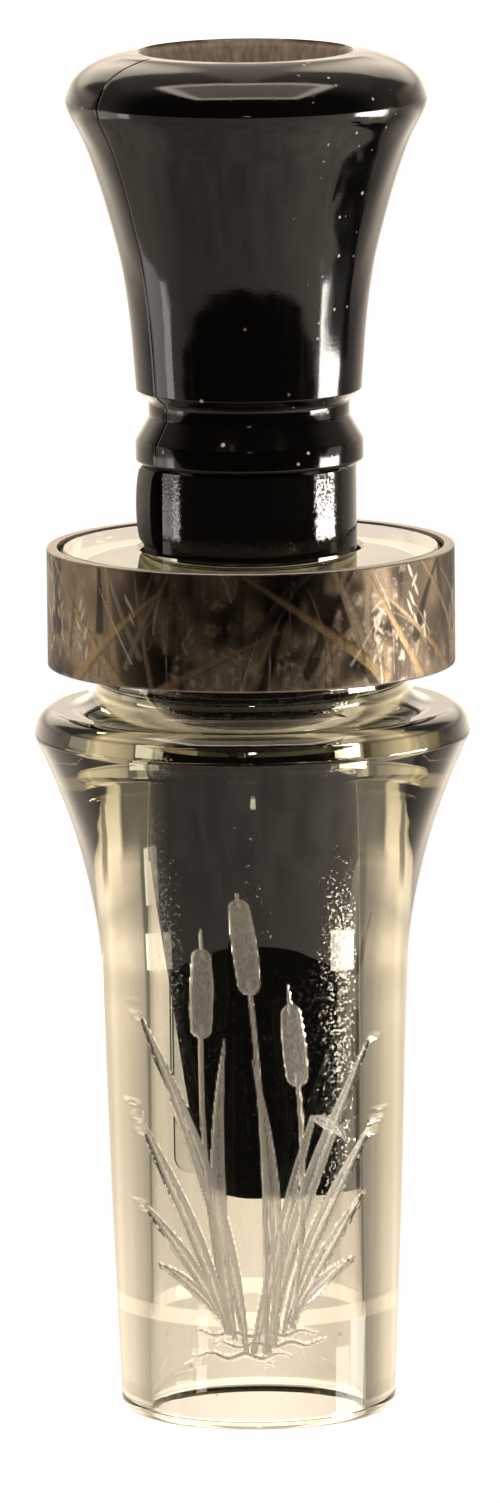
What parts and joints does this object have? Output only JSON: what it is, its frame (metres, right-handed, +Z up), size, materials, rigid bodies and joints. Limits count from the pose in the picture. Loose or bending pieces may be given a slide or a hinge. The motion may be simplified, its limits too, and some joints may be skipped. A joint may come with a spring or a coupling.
{
  "type": "duck call",
  "caption": "Two-reed duck call: clear flanged barrel with a lanyard groove and a printed metal band, and a black bell-ended insert that pulls out for cleaning.",
  "frame": {"origin": "centre of the barrel's mouth face, which the call stands on", "axes": "+Z up the bore towards the end bell; +Y is the side that the tone board's reed face looks to; +X across the reeds"},
  "size_m": [0.0348, 0.0348, 0.1095],
  "materials": {
    "smoke_clear": "clear smoke-tinted moulding, polished, with a frosted engraved motif",
    "printed_metal": "brushed band printed with a dark marsh-grass camouflage",
    "polished_black": "polished black",
    "satin_black": "fine spark-eroded texture",
    "black_rubber": "fine-grained, soft",
    "reed_film": "clear polyester film"
  },
  "bodies": {
    "barrel": {"barrel": "smoke_clear", "band": "printed_metal"},
    "insert": {"end_bell": "polished_black", "tone_board": "satin_black", "wedge": "black_rubber"},
    "lower_reed": {"lower_reed": "reed_film"},
    "upper_reed": {"upper_reed": "reed_film"}
  },
  "joints": [
    {"name": "insert_pull", "type": "slide", "parent": "barrel", "child": "insert", "axis": [0, 0, 1], "range_m": [0, 0.055]},
    {"name": "lower_reed_flex", "type": "hinge", "parent": "insert", "child": "lower_reed", "pos_m": [0, 0.00028, 0.0465], "axis": [1, 0, 0], "range_deg": [-8, 2], "stiffness_Nm_per_rad": 0.01, "deforming": ["lower_reed"]},
    {"name": "upper_reed_flex", "type": "hinge", "parent": "insert", "child": "upper_reed", "pos_m": [0, 0.00068, 0.0465], "axis": [1, 0, 0], "range_deg": [-8, 2], "stiffness_Nm_per_rad": 0.01, "deforming": ["upper_reed"]}
  ],
  "couplings": [
    {"joint": "upper_reed_flex", "follows": "lower_reed_flex", "ratio": 1}
  ]
}
